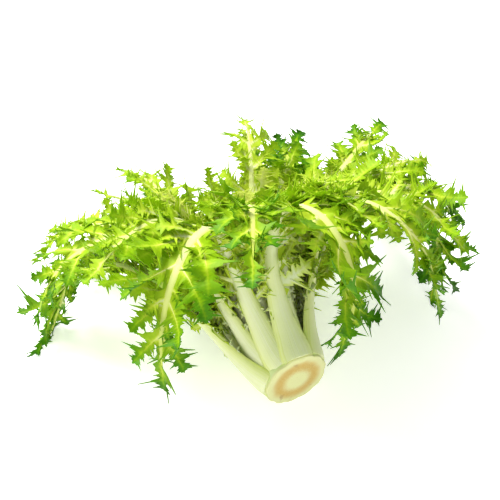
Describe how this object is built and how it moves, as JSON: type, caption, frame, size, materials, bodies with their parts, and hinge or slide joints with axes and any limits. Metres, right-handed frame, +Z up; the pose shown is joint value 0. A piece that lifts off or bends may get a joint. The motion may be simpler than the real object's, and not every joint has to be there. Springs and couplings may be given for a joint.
{
  "type": "curly endive head",
  "caption": "Cut head of curly endive lying on its side: a short stem and a rosette of ribbed leaves with toothed, curling lobes.",
  "frame": {"origin": "on the surface the head lies on, under the middle of its bounding box", "axes": "+Y to the back of the head, away from the cut end of the stem; +X to the right with the cut end in front; +Z up"},
  "size_m": [0.284, 0.308, 0.1641],
  "materials": {
    "stem": "moist pale flesh, matt on the cut",
    "outer_leaf": "fresh green leaf with a satin sheen and a pale rib",
    "middle_leaf": "fresh light green leaf with a satin sheen and a pale rib",
    "heart_leaf": "fresh pale yellow leaf with a satin sheen and a white rib"
  },
  "bodies": {
    "root": {"stem": "stem", "outer_leaf_01": "outer_leaf", "outer_leaf_02": "outer_leaf", "outer_leaf_03": "outer_leaf", "outer_leaf_04": "outer_leaf", "outer_leaf_05": "outer_leaf", "outer_leaf_06": "outer_leaf", "outer_leaf_07": "outer_leaf", "outer_leaf_08": "outer_leaf", "outer_leaf_09": "outer_leaf", "outer_leaf_10": "outer_leaf", "outer_leaf_11": "outer_leaf", "outer_leaf_12": "outer_leaf", "outer_leaf_13": "outer_leaf", "outer_leaf_14": "outer_leaf", "outer_leaf_15": "outer_leaf", "middle_leaf_01": "middle_leaf", "middle_leaf_02": "middle_leaf", "middle_leaf_03": "middle_leaf", "middle_leaf_04": "middle_leaf", "middle_leaf_05": "middle_leaf", "middle_leaf_06": "middle_leaf", "middle_leaf_07": "middle_leaf", "middle_leaf_08": "middle_leaf", "middle_leaf_09": "middle_leaf", "middle_leaf_10": "middle_leaf", "middle_leaf_11": "middle_leaf", "middle_leaf_12": "middle_leaf", "middle_leaf_13": "middle_leaf", "middle_leaf_14": "middle_leaf", "middle_leaf_15": "middle_leaf", "heart_leaf_01": "heart_leaf", "heart_leaf_02": "heart_leaf", "heart_leaf_03": "heart_leaf", "heart_leaf_04": "heart_leaf", "heart_leaf_05": "heart_leaf", "heart_leaf_06": "heart_leaf", "heart_leaf_07": "heart_leaf", "heart_leaf_08": "heart_leaf", "heart_leaf_09": "heart_leaf", "heart_leaf_10": "heart_leaf", "heart_leaf_11": "heart_leaf", "heart_leaf_12": "heart_leaf", "heart_leaf_13": "heart_leaf", "heart_leaf_14": "heart_leaf"}
  },
  "joints": []
}
